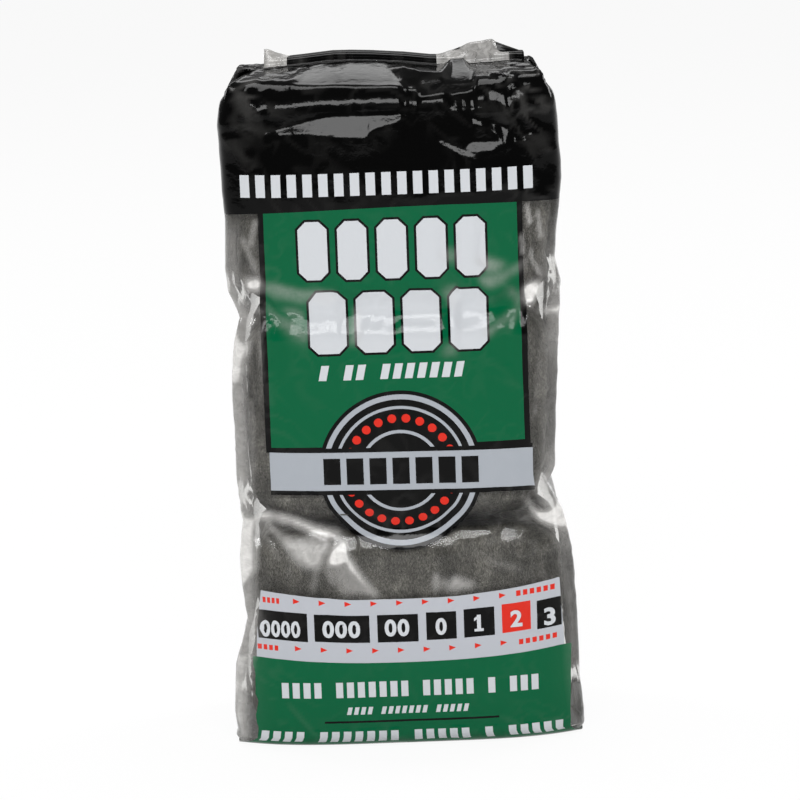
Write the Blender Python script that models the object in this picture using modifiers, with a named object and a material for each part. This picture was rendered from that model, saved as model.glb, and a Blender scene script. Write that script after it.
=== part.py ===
# A pack of twelve steel wool pads in a printed, side-gusseted film bag.
# Metres, +Z up. The printed front faces -Y, and the bag stands on its folded base at z = 0.

import math

import bmesh
import bpy
from mathutils import Vector

# Pads: each is a ribbon of wool wound flat round itself, and the ribbon's width runs along X.
TIER_COUNT = 3
PADS_PER_TIER = 4
PAD_WIDTH = 0.1060
PAD_HEIGHT = 0.0731
PAD_THICKNESS = 0.0184
MIDDLE_TIER_NARROWER = 0.0060
PAD_GAP = 0.0006
RIBBON_LAYERS = 4
RIBBON_GAP = 0.0005
TAIL_SETBACK = 0.0100

# A soft pad is pressed thinner and lower towards its two ends: (distance from the end, share).
END_STEPS = ((0.0, 0.78), (0.0040, 0.90), (0.0100, 0.957), (0.0200, 1.0))

# Film of the bag, and the pitch at which its folded plies lie on each other.
FILM_THICKNESS = 0.0001
FILM_CLEARANCE = 0.0008
FOLD_PLY_PITCH = 0.0006
SEAL_PLY_PITCH = 0.0004

# Tube of the bag: it stands off the ends of the pads and draws in between the tiers.
SIDE_ALLOWANCE = 0.0045
CORNER_RADIUS = 0.0060
SIDE_FLATTENING = 0.24
FRONT_PINCH = 0.0026
SIDE_PINCH = 0.0026
PINCH_REACH = 0.0090
GUSSET_CREASE = 0.0024

# Top fold: rounded shoulders and tucked corners under a roof that closes to a seal.
TOP_RADIUS = 0.0115
TOP_CORNER_HEIGHT = 0.0180
TOP_CORNER_DRAW = 0.0130

# Base fold: the same fold the other way up, closed flat along its middle.
BASE_RADIUS = 0.0080
BASE_CORNER_HEIGHT = 0.0090
BASE_CORNER_DRAW = 0.0030
BASE_SEAM_GAP = 0.0012

# Seal above the roof: it bends over to the back, and its two ends stand up as ears.
SEAL_LENGTH = 0.0090
SEAL_RISE = 0.0005
SEAL_BEND_RADIUS = 0.0014
EAR_ANGLE = 52.0
EAR_START = 0.35

# Places along half of the front, as shares of its half width.
FRONT_PLACES = (0.0, 0.22, 0.44, 0.64, 0.80, 0.92)
CORNER_POINTS = 5
GUSSET_PLACE = 0.45

BASE_STEPS = (0.72, 0.46)
TOP_STEPS = (0.50, 0.74, 0.955)
SHOULDER_PARTS = 4
FOOT_PARTS = 3


# Sizes that follow from the ones above
stack_half_depth = (PADS_PER_TIER * PAD_THICKNESS + (PADS_PER_TIER - 1) * PAD_GAP) / 2
bag_half_depth = stack_half_depth + FILM_CLEARANCE + FILM_THICKNESS
bag_half_width = PAD_WIDTH / 2 + SIDE_ALLOWANCE
fold_depth = 2 * FOLD_PLY_PITCH + FILM_THICKNESS + FILM_CLEARANCE
tier_pitch = PAD_HEIGHT + PAD_GAP
pads_top = fold_depth + TIER_COUNT * tier_pitch - PAD_GAP
roof_height = pads_top + fold_depth
ribbon_pitch = (PAD_THICKNESS + RIBBON_GAP) / RIBBON_LAYERS


def clear_scene():
    for existing in list(bpy.data.objects):
        bpy.data.objects.remove(existing, do_unlink=True)


def new_collection(name):
    made = bpy.data.collections.new(name)
    bpy.context.scene.collection.children.link(made)
    return made


def plain_material(name, colour, roughness, metallic=0.0, alpha=1.0):
    made = bpy.data.materials.new(name)
    made.use_nodes = True
    shader = made.node_tree.nodes["Principled BSDF"]
    shader.inputs["Base Color"].default_value = (*colour, 1.0)
    shader.inputs["Roughness"].default_value = roughness
    shader.inputs["Metallic"].default_value = metallic
    shader.inputs["Alpha"].default_value = alpha
    made.diffuse_color = (*colour, alpha)
    return made


def object_from(bm, name, collection, material, parent, location=(0.0, 0.0, 0.0)):
    mesh = bpy.data.meshes.new(name)
    bm.to_mesh(mesh)
    bm.free()
    mesh.materials.append(material)
    mesh.shade_smooth()
    mesh.set_sharp_from_angle(angle=math.radians(50))
    made = bpy.data.objects.new(name, mesh)
    made.location = location
    made.parent = parent
    collection.objects.link(made)
    return made


def grid_of_points(bm, rows):
    """A grid with its vertices moved onto rows of points, row by row."""
    last_row = len(rows) - 1
    last_column = len(rows[0]) - 1
    bmesh.ops.create_grid(bm, x_segments=last_column, y_segments=last_row, size=1.0)
    lattice = {}
    for vert in bm.verts:
        column = round((vert.co.x + 1.0) / 2.0 * last_column)
        row = round((vert.co.y + 1.0) / 2.0 * last_row)
        lattice[row, column] = vert
    for (row, column), vert in lattice.items():
        vert.co = rows[row][column]
    return lattice


def mix(first, second, share):
    return first + (second - first) * share


def flattening(x):
    """Share of its full depth that the pack keeps at this distance from its middle."""
    return 1.0 - SIDE_FLATTENING * (abs(x) / bag_half_width) ** 4


def middleness(height):
    """0 at the middles of the lowest and the highest tier, and 1 half way between them."""
    span = (TIER_COUNT - 1) * tier_pitch
    if span == 0:
        return 0.0
    along = (height - fold_depth - PAD_HEIGHT / 2) / span
    return math.sin(math.pi * min(max(along, 0.0), 1.0)) ** 2


# Pads

def ribbon_pairs():
    """Points down both faces of the wound ribbon, as (depth, height) pairs in its section."""
    half = (ribbon_pitch - RIBBON_GAP) / 2
    places = [0.0]
    for step in range(1, RIBBON_LAYERS):
        places.append(places[-1] + (step if step % 2 else -step) * ribbon_pitch)
    centre = (min(places) + max(places)) / 2
    turns = []
    for step in range(1, RIBBON_LAYERS):
        middle = (places[step - 1] + places[step]) / 2 - centre
        turns.append((middle, step * ribbon_pitch / 2))
    pairs = []
    for step, (middle, radius) in enumerate(turns, start=1):
        way = 1 if step % 2 else -1
        widest = max(reach for _, reach in turns[(step - 1) % 2::2])
        level = way * (PAD_HEIGHT / 2 - widest - half)
        if step == 1:
            start = -way * (PAD_HEIGHT / 2 - 1.0 * ribbon_pitch - half)
            pairs.append((Vector((middle - radius + half, start)), Vector((middle - radius - half, start))))
        parts = 3 + step
        for i in range(parts + 1):
            turn = math.pi * i / parts
            out = Vector((-way * math.cos(turn), way * math.sin(turn)))
            base = Vector((middle, level))
            pairs.append((base + out * (radius - half), base + out * (radius + half)))
    inner, outer = pairs[-1]
    tail = -math.copysign(PAD_HEIGHT / 2 - TAIL_SETBACK, inner.y)
    pairs.append((Vector((inner.x, tail)), Vector((outer.x, tail))))
    return pairs


def end_share(distance):
    """Share of its full section that a pad keeps at this distance from its nearer end."""
    for (near, low), (far, high) in zip(END_STEPS, END_STEPS[1:]):
        if distance < far:
            return low + (high - low) * (distance - near) / (far - near)
    return END_STEPS[-1][1]


def add_pad(name, width, centre, flip, collection, material, parent):
    pairs = ribbon_pairs()
    bm = bmesh.new()
    rows = [[Vector((-width / 2, pair[side].x * flip, pair[side].y)) for pair in pairs] for side in (0, 1)]
    grid_of_points(bm, rows)
    stations = [distance for distance, share in END_STEPS]
    stations += [width - distance for distance in reversed(stations)]
    region = list(bm.faces)
    for here, there in zip(stations, stations[1:]):
        grown = bmesh.ops.extrude_face_region(bm, geom=region)
        if here > stations[0]:
            bmesh.ops.delete(bm, geom=region, context="FACES_ONLY")
        verts = [item for item in grown["geom"] if isinstance(item, bmesh.types.BMVert)]
        region = [item for item in grown["geom"] if isinstance(item, bmesh.types.BMFace)]
        bmesh.ops.translate(bm, verts=verts, vec=(there - here, 0.0, 0.0))
    for vert in bm.verts:
        x = vert.co.x
        share = end_share(width / 2 - abs(x))
        depth = (centre.y + vert.co.y * share) * flattening(x)
        vert.co = Vector((x, depth - centre.y, vert.co.z * share))
    bmesh.ops.recalc_face_normals(bm, faces=bm.faces)
    return object_from(bm, name, collection, material, parent, centre)


def add_tiers(collection, material, parent):
    names = ("bottom", "middle", "top") if TIER_COUNT == 3 else [f"tier_{i + 1}" for i in range(TIER_COUNT)]
    for tier, tier_name in enumerate(names):
        height = fold_depth + tier * tier_pitch + PAD_HEIGHT / 2
        width = PAD_WIDTH - MIDDLE_TIER_NARROWER * middleness(height)
        for place in range(PADS_PER_TIER):
            across = -stack_half_depth + PAD_THICKNESS / 2 + place * (PAD_THICKNESS + PAD_GAP)
            flip = 1 if (tier + place) % 2 else -1
            name = f"pad_{tier_name}_{place + 1}"
            add_pad(name, width, Vector((0.0, across, height)), flip, collection, material, parent)


# Bag

def pinch(height):
    """1 where two tiers of pads meet, falling to 0 within reach of there."""
    deepest = 0.0
    for tier in range(1, TIER_COUNT):
        away = abs(height - fold_depth - tier * tier_pitch + PAD_GAP / 2) / PINCH_REACH
        if away < 1.0:
            deepest = max(deepest, math.cos(math.pi / 2 * away) ** 2)
    return deepest


def half_width_at(height):
    return bag_half_width - MIDDLE_TIER_NARROWER / 2 * middleness(height) - SIDE_PINCH * pinch(height)


def half_depth_at(height):
    return bag_half_depth - FRONT_PINCH * pinch(height)


def round_quarter(half_width, half_depth, heights):
    """A quarter of a rounded rectangle, from the middle of the front to the middle of a side."""
    points = []
    straight = half_width - CORNER_RADIUS
    for place in FRONT_PLACES:
        points.append(Vector((straight * place / FRONT_PLACES[-1], -half_depth, 0.0)))
    for i in range(1, CORNER_POINTS + 1):
        turn = math.pi / 2 * i / CORNER_POINTS
        x = straight + CORNER_RADIUS * math.sin(turn)
        y = -half_depth + CORNER_RADIUS * (1.0 - math.cos(turn))
        points.append(Vector((x, y, 0.0)))
    points.append(Vector((half_width - GUSSET_CREASE / 2, -half_depth * GUSSET_PLACE, 0.0)))
    points.append(Vector((half_width - GUSSET_CREASE, 0.0, 0.0)))
    front_height, side_height = heights
    corner_start = len(FRONT_PLACES)
    for i, point in enumerate(points):
        share = min(max((i - 1) / (corner_start + 1), 0.0), 1.0) ** 2
        point.y *= flattening(point.x)
        point.z = front_height + (side_height - front_height) * share
    return points


def folded_quarter(half_width, half_depth, tuck, pitch):
    """The same quarter in a flat fold: the front flap, the ply turned back under it, and the tuck."""
    points = []
    for place in FRONT_PLACES:
        points.append(Vector(((half_width - pitch) * place / FRONT_PLACES[-1] * 0.97, -half_depth, 0.0)))
    points.append(Vector((half_width, -half_depth, 0.0)))
    points.append(Vector((half_width, -half_depth, -pitch)))
    points.append(Vector((half_width - tuck / 2 - pitch / 2, -half_depth, -pitch)))
    points.append(Vector((half_width - tuck - pitch, -half_depth, -pitch)))
    points.append(Vector((half_width - tuck - pitch, -half_depth, -2 * pitch)))
    points.append(Vector((half_width - tuck - pitch, -half_depth * GUSSET_PLACE, -2 * pitch)))
    points.append(Vector((half_width - tuck - pitch, 0.0, -2 * pitch)))
    for point in points:
        point.y *= flattening(point.x)
    return points


def whole_side(quarter):
    """The quarter and its mirror image in Y: from the middle of the front to that of the back."""
    back = [Vector((point.x, -point.y, point.z)) for point in quarter[:-1]]
    return quarter + back[::-1]


def fold_ring(closed, radius, corner_height, corner_draw, half_width, half_depth):
    """One ring of an end fold. Its heights are counted from the plane of the end, away from the bag."""
    travelled = half_depth * closed
    turn = math.acos(1.0 - travelled / radius) if travelled < radius else math.pi / 2
    bend = math.sin(turn)
    width = half_width - corner_draw * (1.0 - math.cos(turn))
    depth = half_depth - travelled
    heights = (-radius * (1.0 - bend), -corner_height * (1.0 - bend))
    folded = folded_quarter(width, depth, travelled * (1 - FOLD_PLY_PITCH / half_depth), FOLD_PLY_PITCH)
    rounded = round_quarter(width, depth, heights)
    share = bend ** 3
    quarter = []
    for around, flat in zip(rounded, folded):
        point = mix(around, flat, share)
        point.z = around.z + flat.z * bend
        quarter.append(point)
    return whole_side(quarter)


def seal_offsets(half_width):
    """(x, distance from the seal's middle plane) of each column where the bag is flattened."""
    pitch = SEAL_PLY_PITCH
    tuck = half_width - (half_width - bag_half_depth)
    points = []
    for place in FRONT_PLACES:
        points.append((half_width * place / FRONT_PLACES[-1] * 0.97, -1.5 * pitch))
    points.append((half_width, -1.5 * pitch))
    points.append((half_width, -0.5 * pitch))
    points.append((half_width - tuck / 2, -0.5 * pitch))
    points.append((half_width - tuck + pitch, -0.5 * pitch))
    points.append((half_width - tuck + pitch * 0.6, -0.35 * pitch))
    points.append((half_width - tuck + pitch * 0.3, -0.18 * pitch))
    points.append((half_width - tuck + pitch * 0.2, 0.0))
    return points + [(x, -offset) for x, offset in points[:-1]][::-1]


def seal_ring(half_width, bent, along):
    """One ring of the seal: bent is the share of the bend done, along the run after it."""
    ring = []
    for x, offset in seal_offsets(half_width):
        reach = abs(x) / half_width
        lift = min(max((reach - EAR_START) / (1.0 - EAR_START), 0.0), 1.0)
        lift = lift * lift * (3.0 - 2.0 * lift)
        turn = math.radians(90.0 - EAR_ANGLE * lift) * bent
        arm = SEAL_BEND_RADIUS - offset
        y = SEAL_BEND_RADIUS - arm * math.cos(turn) + along * math.sin(turn)
        z = roof_height + SEAL_RISE + arm * math.sin(turn) + along * math.cos(turn)
        ring.append(Vector((x, y, z)))
    return ring


def bag_rings():
    """Rings of the bag's half on +X, from the seam of the base up to the end of the seal."""
    rings = []
    base_arc = [BASE_RADIUS * (1.0 - math.cos(math.pi / 2 * i / FOOT_PARTS)) for i in range(FOOT_PARTS + 1)]
    base_closed = [travelled / bag_half_depth for travelled in base_arc]
    base_closed += sorted(BASE_STEPS)
    base_closed.append(1.0 - BASE_SEAM_GAP / bag_half_depth)
    for closed in reversed(base_closed):
        ring = fold_ring(closed, BASE_RADIUS, BASE_CORNER_HEIGHT, BASE_CORNER_DRAW,
                         bag_half_width, bag_half_depth)
        rings.append([Vector((point.x, point.y, -point.z)) for point in ring])

    levels = []
    for tier in range(TIER_COUNT):
        floor = fold_depth + tier * tier_pitch
        start = floor + PINCH_REACH if tier else BASE_CORNER_HEIGHT
        end = floor + tier_pitch - PINCH_REACH if tier < TIER_COUNT - 1 else roof_height - TOP_CORNER_HEIGHT
        if tier:
            levels += [floor - PAD_GAP / 2, floor + PINCH_REACH * 0.5, start]
        levels += [start + (end - start) * share for share in (0.25, 0.5, 0.75)]
        if tier < TIER_COUNT - 1:
            levels += [end, end + PINCH_REACH * 0.5]
    for level in levels:
        quarter = round_quarter(half_width_at(level), half_depth_at(level), (level, level))
        rings.append(whole_side(quarter))

    top_arc = [TOP_RADIUS * (1.0 - math.cos(math.pi / 2 * i / SHOULDER_PARTS)) for i in range(SHOULDER_PARTS + 1)]
    top_closed = [travelled / bag_half_depth for travelled in top_arc]
    top_closed += sorted(TOP_STEPS)
    for closed in top_closed:
        ring = fold_ring(closed, TOP_RADIUS, TOP_CORNER_HEIGHT, TOP_CORNER_DRAW,
                         bag_half_width, bag_half_depth)
        rings.append([Vector((point.x, point.y, roof_height + point.z)) for point in ring])

    seal_half_width = bag_half_width - TOP_CORNER_DRAW
    for bent, along in ((0.0, 0.0), (0.34, 0.0), (0.67, 0.0), (1.0, 0.0), (1.0, SEAL_LENGTH / 2), (1.0, SEAL_LENGTH)):
        rings.append(seal_ring(seal_half_width, bent, along))
    return rings


def add_bag(collection, material, parent):
    rings = bag_rings()
    bm = bmesh.new()
    lattice = grid_of_points(bm, rings)
    last = len(rings[0]) - 1
    for i in range(last // 2):
        seam = [lattice[0, i], lattice[0, i + 1], lattice[0, last - i - 1], lattice[0, last - i]]
        bm.faces.new(list(dict.fromkeys(seam)))
    bmesh.ops.recalc_face_normals(bm, faces=bm.faces)
    bm.normal_update()
    bm.faces.ensure_lookup_table()
    front = min(bm.faces, key=lambda face: (abs(face.calc_center_median().z - roof_height / 2)
                                            + face.calc_center_median().y))
    if front.normal.y > 0.0:
        bmesh.ops.reverse_faces(bm, faces=bm.faces)
    bag = object_from(bm, "film_bag", collection, material, parent)
    halves = bag.modifiers.new("halves", "MIRROR")
    halves.use_axis = (True, False, False)
    halves.use_clip = True
    halves.merge_threshold = 0.00005
    shell = bag.modifiers.new("film", "SOLIDIFY")
    shell.thickness = FILM_THICKNESS
    shell.offset = -1.0
    return bag


clear_scene()
pack = new_collection("steel_wool_pack")
wool = plain_material("steel_wool", (0.30, 0.29, 0.27), 0.55, metallic=0.6)
film = plain_material("printed_film", (0.62, 0.68, 0.66), 0.16, alpha=0.4)
standing = bpy.data.objects.new("pack_origin", None)
pack.objects.link(standing)
add_tiers(pack, wool, standing)
add_bag(pack, film, standing)
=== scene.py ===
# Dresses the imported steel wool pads: wool, printed clear film, print on it, and a plain studio.
import math
import bmesh
import bpy
import numpy as np
from mathutils import Matrix, Vector, noise


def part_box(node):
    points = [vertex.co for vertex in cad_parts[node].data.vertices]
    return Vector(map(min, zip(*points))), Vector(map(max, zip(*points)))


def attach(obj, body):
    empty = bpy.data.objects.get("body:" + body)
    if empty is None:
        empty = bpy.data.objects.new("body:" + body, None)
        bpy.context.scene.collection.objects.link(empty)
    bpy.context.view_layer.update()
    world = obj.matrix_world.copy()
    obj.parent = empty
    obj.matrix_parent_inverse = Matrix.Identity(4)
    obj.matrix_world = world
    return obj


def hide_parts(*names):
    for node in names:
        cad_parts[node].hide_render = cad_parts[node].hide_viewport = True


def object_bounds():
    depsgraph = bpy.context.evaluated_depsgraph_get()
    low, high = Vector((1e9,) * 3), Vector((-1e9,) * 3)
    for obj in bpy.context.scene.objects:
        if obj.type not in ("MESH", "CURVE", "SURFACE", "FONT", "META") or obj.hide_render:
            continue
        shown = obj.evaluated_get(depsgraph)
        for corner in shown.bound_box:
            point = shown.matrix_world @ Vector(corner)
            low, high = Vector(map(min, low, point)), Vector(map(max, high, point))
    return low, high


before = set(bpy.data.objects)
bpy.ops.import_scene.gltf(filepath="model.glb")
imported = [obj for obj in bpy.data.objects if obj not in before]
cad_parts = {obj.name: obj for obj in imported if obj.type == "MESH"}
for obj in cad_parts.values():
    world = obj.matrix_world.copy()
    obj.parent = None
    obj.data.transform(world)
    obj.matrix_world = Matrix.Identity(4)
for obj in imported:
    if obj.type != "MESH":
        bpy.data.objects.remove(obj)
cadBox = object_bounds()
mm = 0.001
print("frame loaded")

# the view, as near the photograph's as can be told
cameraSet = {"azimuth": 0.0, "elevation": 11.5, "roll": 2.05, "distance": 1.30, "lens": 171.5,
             "aim": (0.0006, 0.0, 0.1115)}


def addCamera(s):
    data = bpy.data.cameras.new("studioCamera")
    data.lens = s["lens"]
    data.sensor_width = 36.0
    data.clip_start = 0.01
    data.clip_end = 20.0
    camera = bpy.data.objects.new("studioCamera", data)
    bpy.context.collection.objects.link(camera)
    az = math.radians(s["azimuth"])
    el = math.radians(s["elevation"])
    back = Vector((math.sin(az) * math.cos(el), -math.cos(az) * math.cos(el), math.sin(el)))
    turn = (-back).to_track_quat("-Z", "Y").to_matrix().to_4x4()
    roll = Matrix.Rotation(math.radians(-s["roll"]), 4, "Z")
    camera.matrix_world = Matrix.Translation(Vector(s["aim"]) + back * s["distance"]) @ turn @ roll
    bpy.context.scene.camera = camera


addCamera(cameraSet)

# the filled bag, in millimetres: its outline's half widths go with the heights above them
bag = {
    "heights": (0, 3, 8, 20, 28, 36, 45, 57, 65, 73, 78, 82, 88, 94, 114, 127, 139, 147, 151, 156, 164, 180,
                190, 205, 214),
    "leftWidths": (57.6, 58.6, 58.9, 58.3, 57.7, 55.4, 53.1, 54.4, 54.6, 53.6, 53.0, 53.5, 54.2, 54.6, 54.8,
                   54.8, 53.4, 50.9, 52.3, 54.6, 55.6, 54.9, 55.8, 56.1, 56.5),
    "rightWidths": (58.4, 59.2, 59.2, 58.0, 57.8, 57.6, 57.4, 57.0, 56.0, 54.2, 53.0, 51.0, 48.4, 51.2, 52.2,
                    53.1, 53.6, 54.2, 54.3, 55.0, 53.3, 55.2, 56.6, 56.0, 55.3),
    "halfWidth": 57.5,
    "halfDepth": 38.4,
    "sideFlattening": 0.24,
    "cornerRadius": 6.0,
    "gussetCrease": 2.6,
    "pinches": ((75.8, 3.0, 10.0), (149.5, 3.2, 10.0)),   # height, depth, reach
    "bulge": 0.9,
    "foldPly": 0.6,
    "topLean": 0.08,
    "leanFrom": 182,
    "leanOver": 36,
    "baseEnd": {"radius": 6.0, "cornerHeight": 3.0, "leftDraw": 0.6, "rightDraw": 0.4,
                "leftNarrow": 0.0, "rightNarrow": 0.0, "liftAcross": (0.8, 6)},
    "topEnd": {"radius": 10.5, "cornerHeight": 12.0, "leftDraw": 3.4, "rightDraw": 5.0,
               "leftNarrow": 12.0, "rightNarrow": 4.0, "liftAcross": (0.8, 6)},
    "backDraw": 0.03,
    "backFrom": -12,
    "backOver": 40,
    "roofClosed": 0.955,
    "crown": ((-50, 1.2), (-43, 1.7), (-37, 2.0), (-28, 2.7), (-18, 3.6), (-12, 3.55), (-5, 3.2), (6, 2.3),
              (15, 1.15), (23, 0.86), (35, 1.2), (42.6, 1.6), (50, 1.2)),
    "seal": {"length": 6.6, "rise": 0.5, "bend": 1.6, "ply": 0.4, "steps": 9, "printJump": 60,
             "rightEar": (17, 29, 35, 41), "leftEar": (-40, -34), "earLift": 48},
    "steps": {"flat": 62, "corner": 10, "side": 11, "base": 8, "foot": 6, "body": 216, "shoulder": 14,
              "roof": 30},
}
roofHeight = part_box("pad_top_1")[1].z * 1000 + 2.1


def quarterColumns():
    front = np.linspace(0, 5, bag["steps"]["flat"] + 1)
    corner = np.linspace(5, 10, bag["steps"]["corner"] + 1)[1:]
    side = np.linspace(10, 12, bag["steps"]["side"] + 1)[1:]
    return np.concatenate([front, corner, side])


# once round the bag from the middle of the back: left, front, right. 0-5 is flat, 5-10 a corner, 10-12 a side
quarter = quarterColumns()
column = np.concatenate([quarter, quarter[-2::-1], quarter[1:], quarter[-2::-1]])
last = len(quarter) - 1
place = np.arange(len(column))
sideWay = np.where(place < 2 * last + 1, -1.0, 1.0)
frontWay = np.where((place >= last) & (place <= 3 * last), -1.0, 1.0)
cornerArc = bag["cornerRadius"] * math.pi / 2
flatHalf = bag["halfWidth"] - bag["cornerRadius"]
quarterRound = flatHalf + cornerArc + bag["halfDepth"] - bag["cornerRadius"]
outward = np.interp(column, (0, 5, 10, 12), (0, flatHalf, flatHalf + cornerArc, quarterRound))
across = sideWay * np.where(frontWay < 0, outward, 2 * quarterRound - outward)


def rising(value, start, over):   # from 0 at the start to 1 once it is this far over it
    return np.clip((value - start) / over, 0, 1)


def flatten(x):
    return 1.0 - bag["sideFlattening"] * (np.abs(x) / bag["halfWidth"]) ** 4


def halfWidthAt(height):
    left = np.interp(height, bag["heights"], bag["leftWidths"])
    right = np.interp(height, bag["heights"], bag["rightWidths"])
    return np.where(sideWay < 0, left, right)


def halfDepthAt(height):
    deep = np.full_like(height, bag["halfDepth"])
    for level, depth, reach in bag["pinches"]:
        away = rising(np.abs(height - level), 0, reach)
        deep -= depth * np.cos(math.pi / 2 * away) ** 2
    tier = np.clip(height / (roofHeight / 3), 0, 3) % 1.0
    return (deep + bag["bulge"] * (np.sin(math.pi * tier) - 0.6)) * lean(height)


def lean(height):   # the bag draws in towards its seal, front and back
    up = rising(height, bag["leanFrom"], bag["leanOver"])
    return 1 - bag["topLean"] * up * up * (3 - 2 * up)


def roofCrown(x):   # how far the roof stands up along its middle line
    return np.interp(x, *zip(*bag["crown"]))


def roundSection(halfWidth, halfDepth):
    r = bag["cornerRadius"]
    turn = rising(column, 5, 5) * math.pi / 2
    side = rising(column, 10, 2)
    x = np.where(column <= 5, (halfWidth - r) * column / 5, halfWidth - r + r * np.sin(turn))
    x = x - bag["gussetCrease"] * side ** 1.5
    y = np.where(column <= 10, halfDepth - r * (1 - np.cos(turn)), (halfDepth - r) * (1 - side))
    return x, y * flatten(x)


foldKeys = (0, 5, 6, 7, 8, 9, 10, 12)   # where a folded section turns, on the same scale as the columns


def pick(steps):   # reads each column's own row of steps at its place between the fold keys
    at = np.interp(column, foldKeys, range(len(foldKeys)))
    low = np.clip(np.floor(at).astype(int), 0, len(foldKeys) - 2)
    return steps[low, place] * (1 - at + low) + steps[low + 1, place] * (at - low)


def foldedSection(halfWidth, halfDepth, tuck):
    ply = bag["foldPly"]
    inner = halfWidth - tuck - ply
    x = pick(np.array([halfWidth * 0, halfWidth - ply, halfWidth, halfWidth, halfWidth - tuck / 2,
                       inner, inner, inner]))
    y = np.interp(column, (0, 10, 12), (1, 1, 0)) * halfDepth
    z = np.interp(column, foldKeys, (0, 0, 0, -ply, -ply, -ply, -2 * ply, -2 * ply))
    return x, y * flatten(x), z


def endRow(end, closed, width):
    fullDepth = bag["halfDepth"] * (1 - bag["topLean"] * (end is bag["topEnd"]))
    travelled = fullDepth * closed
    turn = math.acos(1 - travelled / end["radius"]) if travelled < end["radius"] else math.pi / 2
    bend = math.sin(turn)
    halfWidth = width - np.where(sideWay < 0, end["leftDraw"], end["rightDraw"]) * (1 - math.cos(turn))
    halfWidth -= np.where(sideWay < 0, end["leftNarrow"], end["rightNarrow"]) * closed
    halfDepth = fullDepth - travelled
    share = rising(column, *end["liftAcross"]) ** 2
    lower = -end["radius"] + (end["radius"] - end["cornerHeight"]) * share
    roundX, roundY = roundSection(halfWidth, halfDepth)
    flatX, flatY, flatZ = foldedSection(halfWidth, halfDepth, travelled * 0.985)
    part = bend ** 3
    x = roundX + (flatX - roundX) * part
    y = roundY + (flatY - roundY) * part
    z = lower * (1 - bend) + flatZ * bend
    if end is bag["topEnd"]:
        z = z + roofCrown(x * sideWay) * bend * closed
    path = end["radius"] * (turn - math.pi / 2) + max(travelled - end["radius"], 0)
    return x, y, z, np.full_like(x, path)


def sealRow(bent, run, width):
    s = bag["seal"]
    ply = s["ply"] if run < s["length"] else 0.0   # the plies meet in one line at the end of the seal
    run = np.where(column > 6, run * 0.96, run)
    inner = width - bag["halfDepth"]
    x = pick(np.array([width * 0, width, width, width, (width + inner) / 2,
                       inner + ply, inner + ply * 0.6, inner + ply * 0.2]))
    off = frontWay * np.interp(column, foldKeys, (1.5, 1.5, 1.5, 0.5, 0.5, 0.5, 0.35, 0)) * ply
    signed = x * sideWay
    rightEar = np.interp(signed, s["rightEar"], (0, 1, 1, 0))
    leftEar = np.interp(signed, s["leftEar"], (1, 0))
    lift = np.maximum(rightEar, leftEar * 0.9)
    lift = lift * lift * (3 - 2 * lift)
    wave = 5 * np.sin(signed * 0.31 + 1.0) + 4 * np.sin(signed * 0.83)
    turn = np.radians(90 - s["earLift"] * lift + wave * lift * run / s["length"]) * bent
    arm = s["bend"] - off
    y = s["bend"] - arm * np.cos(turn) + run * np.sin(turn)
    z = s["rise"] + arm * np.sin(turn) + run * np.cos(turn) * (1 + 0.12 * np.sin(signed * 0.21))
    return signed, y, roofHeight + z + roofCrown(signed), np.full_like(x, roofHeight + s["printJump"] + run)


def arcShares(end, steps, depth):   # how far each row round the bend has closed, as a share of the depth
    return [end["radius"] * (1 - math.cos(math.pi / 2 * t)) / depth for t in np.linspace(0, 1, steps + 1)]


def bagRows():
    rows = []
    base, top, steps = bag["baseEnd"], bag["topEnd"], bag["steps"]
    footWidth = halfWidthAt(np.full(len(column), 8.0))
    headWidth = halfWidthAt(np.full(len(column), roofHeight - 12))
    arcs = arcShares(base, steps["foot"], bag["halfDepth"])
    flats = list(np.linspace(arcs[-1], 1.0, steps["base"] + 1)[1:])
    footTop, footPath = endRow(base, 0.0, footWidth)[2:]
    for closed in reversed(arcs + flats):
        x, y, z, path = endRow(base, closed, footWidth)
        rows.append((x * sideWay, y * frontWay, -z, footPath - footTop - path))
    arcs = arcShares(top, steps["shoulder"], bag["halfDepth"] * (1 - bag["topLean"]))
    flats = list(np.linspace(arcs[-1], bag["roofClosed"], steps["roof"] + 1)[1:])
    head = []
    headTop, headPath = endRow(top, 0.0, headWidth)[2:]
    for closed in arcs + flats:
        x, y, z, path = endRow(top, closed, headWidth)
        head.append((x * sideWay, y * frontWay, roofHeight + z, roofHeight + headTop + path - headPath))
    low = rows[-1][2]
    high = head[0][2]
    for t in np.linspace(0, 1, steps["body"] + 1)[1:-1]:
        height = low + (high - low) * t
        x, y = roundSection(halfWidthAt(height), halfDepthAt(height))
        rows.append((x * sideWay, y * frontWay, height, height))
    rows += head
    s = bag["seal"]
    tipWidth = headWidth - np.where(sideWay < 0, top["leftDraw"] + top["leftNarrow"],
                                    top["rightDraw"] + top["rightNarrow"])
    for bent in np.linspace(0, 1, 5):
        rows.append(sealRow(bent, 0.0, tipWidth))
    for t in range(1, s["steps"] + 1):
        rows.append(sealRow(1.0, s["length"] * t / s["steps"], tipWidth))
    rows = np.array([np.stack(row, axis=1) for row in rows])
    behind = rising(rows[:, :, 1], bag["backFrom"], bag["backOver"])
    rows[:, :, 0] *= 1 - bag["backDraw"] * behind * behind
    return rows


shape = bagRows()   # rows from the base seam up, columns, then x, y, z and the print's height
across2d = np.broadcast_to(across, shape.shape[:2])
height2d = shape[:, :, 3]
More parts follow.
